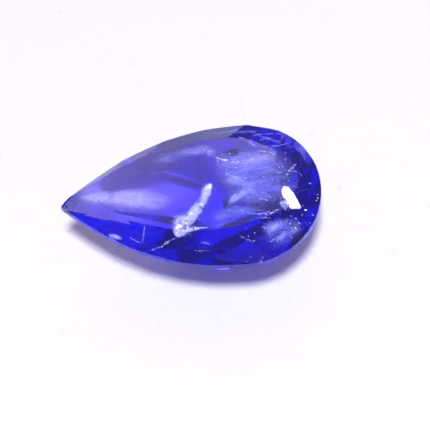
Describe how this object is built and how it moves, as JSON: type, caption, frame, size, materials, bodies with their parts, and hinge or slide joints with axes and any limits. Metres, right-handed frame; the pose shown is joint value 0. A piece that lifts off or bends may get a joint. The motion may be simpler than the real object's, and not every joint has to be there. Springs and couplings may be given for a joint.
{
  "type": "pear-cut tanzanite gemstone",
  "caption": "Loose faceted pear-shaped tanzanite, clear violet-blue with inner fractures, lying table up on a small flat culet.",
  "frame": {"origin": "middle of the stone's box on the surface that it rests on", "axes": "+X from the point to the round head, +Z out of the table, the broad side shown in front faces -Y"},
  "size_m": [0.01, 0.0068, 0.004],
  "materials": {
    "tanzanite": "polished"
  },
  "bodies": {
    "root": {"tanzanite": "tanzanite"}
  },
  "joints": []
}
